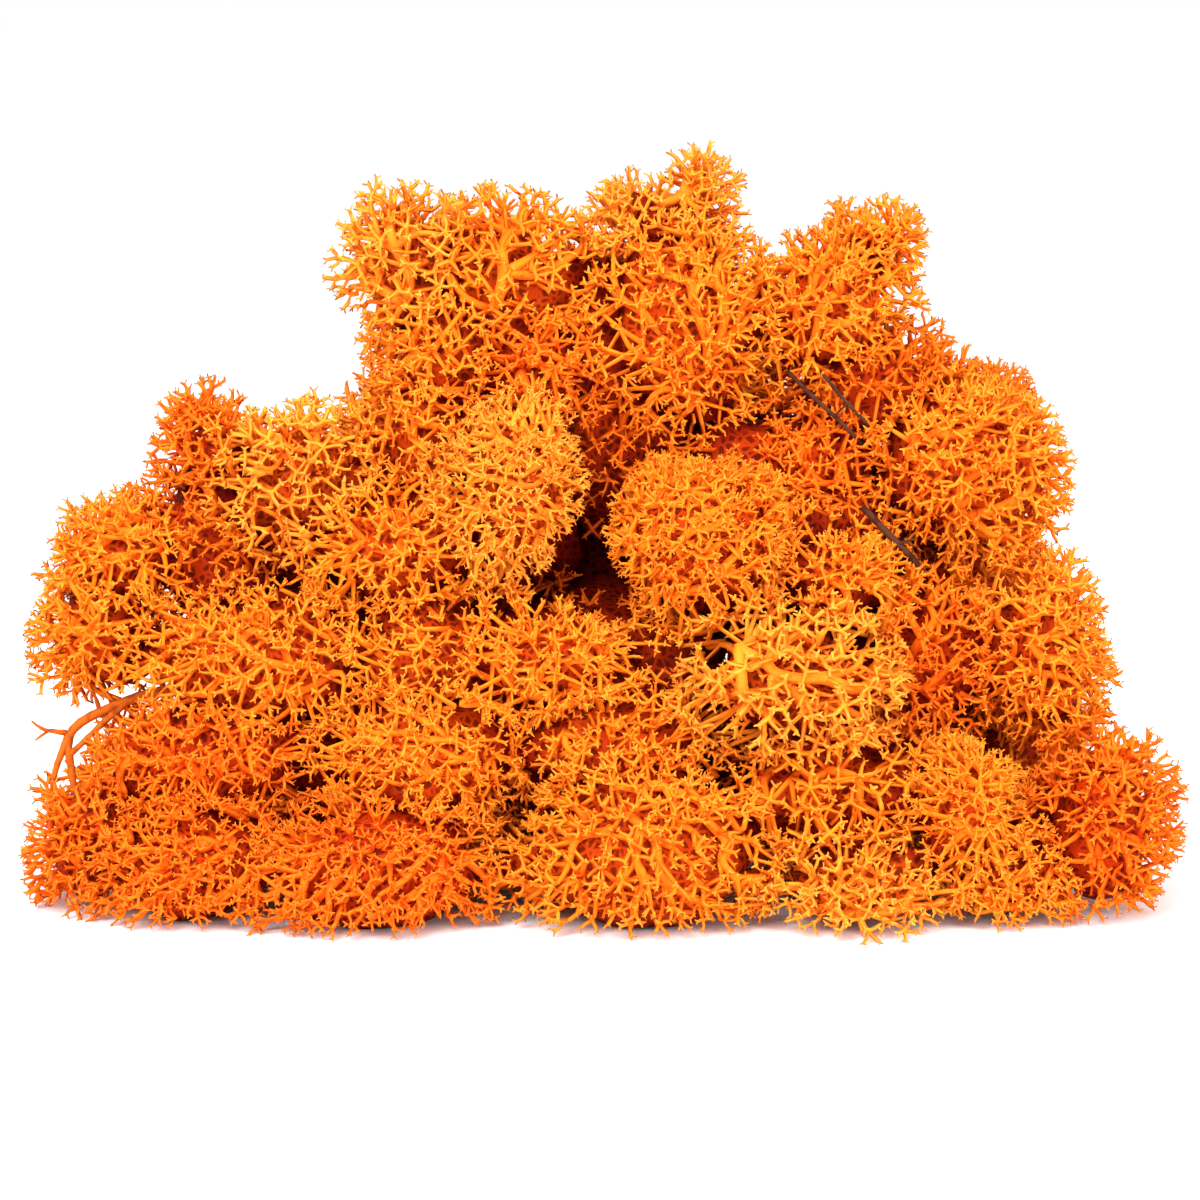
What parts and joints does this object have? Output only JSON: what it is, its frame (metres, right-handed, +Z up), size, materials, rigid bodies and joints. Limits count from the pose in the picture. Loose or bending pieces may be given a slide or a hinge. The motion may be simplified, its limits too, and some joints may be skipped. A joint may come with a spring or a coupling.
{
  "type": "reindeer moss clump",
  "caption": "Loose heap of dyed, preserved reindeer lichen: rounded cushions of fine forking branches, for craft, floral and green-wall decoration.",
  "frame": {"origin": "middle of the heap's box, on the surface it lies on", "axes": "+X along the heap's long side, +Z up, -Y the side seen from the front"},
  "size_m": [0.2852, 0.1592, 0.1841],
  "materials": {
    "lichen_amber": "matt, dyed plant",
    "lichen_orange": "matt, dyed plant",
    "lichen_rust": "matt, dyed plant",
    "lichen_shade": "matt, dyed plant",
    "old_stalk": "matt, dyed plant"
  },
  "bodies": {
    "root": {"foot_far_left": "lichen_rust", "foot_left": "lichen_rust", "foot_mid_left": "lichen_rust", "foot_middle": "lichen_orange", "foot_mid_right": "lichen_amber", "foot_right": "lichen_orange", "foot_far_right": "lichen_rust", "sill_far_left": "lichen_rust", "sill_left": "lichen_orange", "sill_middle": "lichen_orange", "sill_right": "lichen_orange", "sill_ball": "lichen_orange", "belly_left": "lichen_orange", "belly_mid_left": "lichen_orange", "belly_middle": "lichen_orange", "belly_recess": "lichen_shade", "belly_open": "lichen_amber", "belly_right": "lichen_rust", "belly_far_right": "lichen_orange", "shoulder_far_left": "lichen_orange", "shoulder_hanging_left": "lichen_orange", "chest_left": "lichen_orange", "chest_bright": "lichen_amber", "chest_ball": "lichen_orange", "chest_right": "lichen_orange", "shoulder_left_tip": "lichen_rust", "shoulder_left_net": "lichen_amber", "shoulder_left": "lichen_orange", "shoulder_recess": "lichen_rust", "shoulder_right": "lichen_orange", "shoulder_right_back": "lichen_rust", "web_left": "lichen_shade", "crown_left_fan": "lichen_amber", "crown_left": "lichen_orange", "crown_left_lobe": "lichen_rust", "crown_left_root": "lichen_orange", "crown_middle": "lichen_orange", "crown_peak": "lichen_amber", "crown_right": "lichen_orange", "crown_right_tip": "lichen_orange", "crown_right_root": "lichen_shade", "inner_left": "lichen_shade", "inner_right": "lichen_shade", "inner_middle": "lichen_shade", "inner_upper_left": "lichen_shade", "inner_upper_right": "lichen_shade", "inner_crown": "lichen_shade", "back_far_left": "lichen_orange", "back_foot_left": "lichen_orange", "back_foot_middle": "lichen_orange", "back_foot_right": "lichen_orange", "back_far_right": "lichen_orange", "back_belly_left": "lichen_orange", "back_belly_middle": "lichen_orange", "back_belly_right": "lichen_orange", "back_belly_far_right": "lichen_orange", "back_chest_left": "lichen_orange", "back_chest_right": "lichen_orange", "bare_stalk": "old_stalk"}
  },
  "joints": []
}
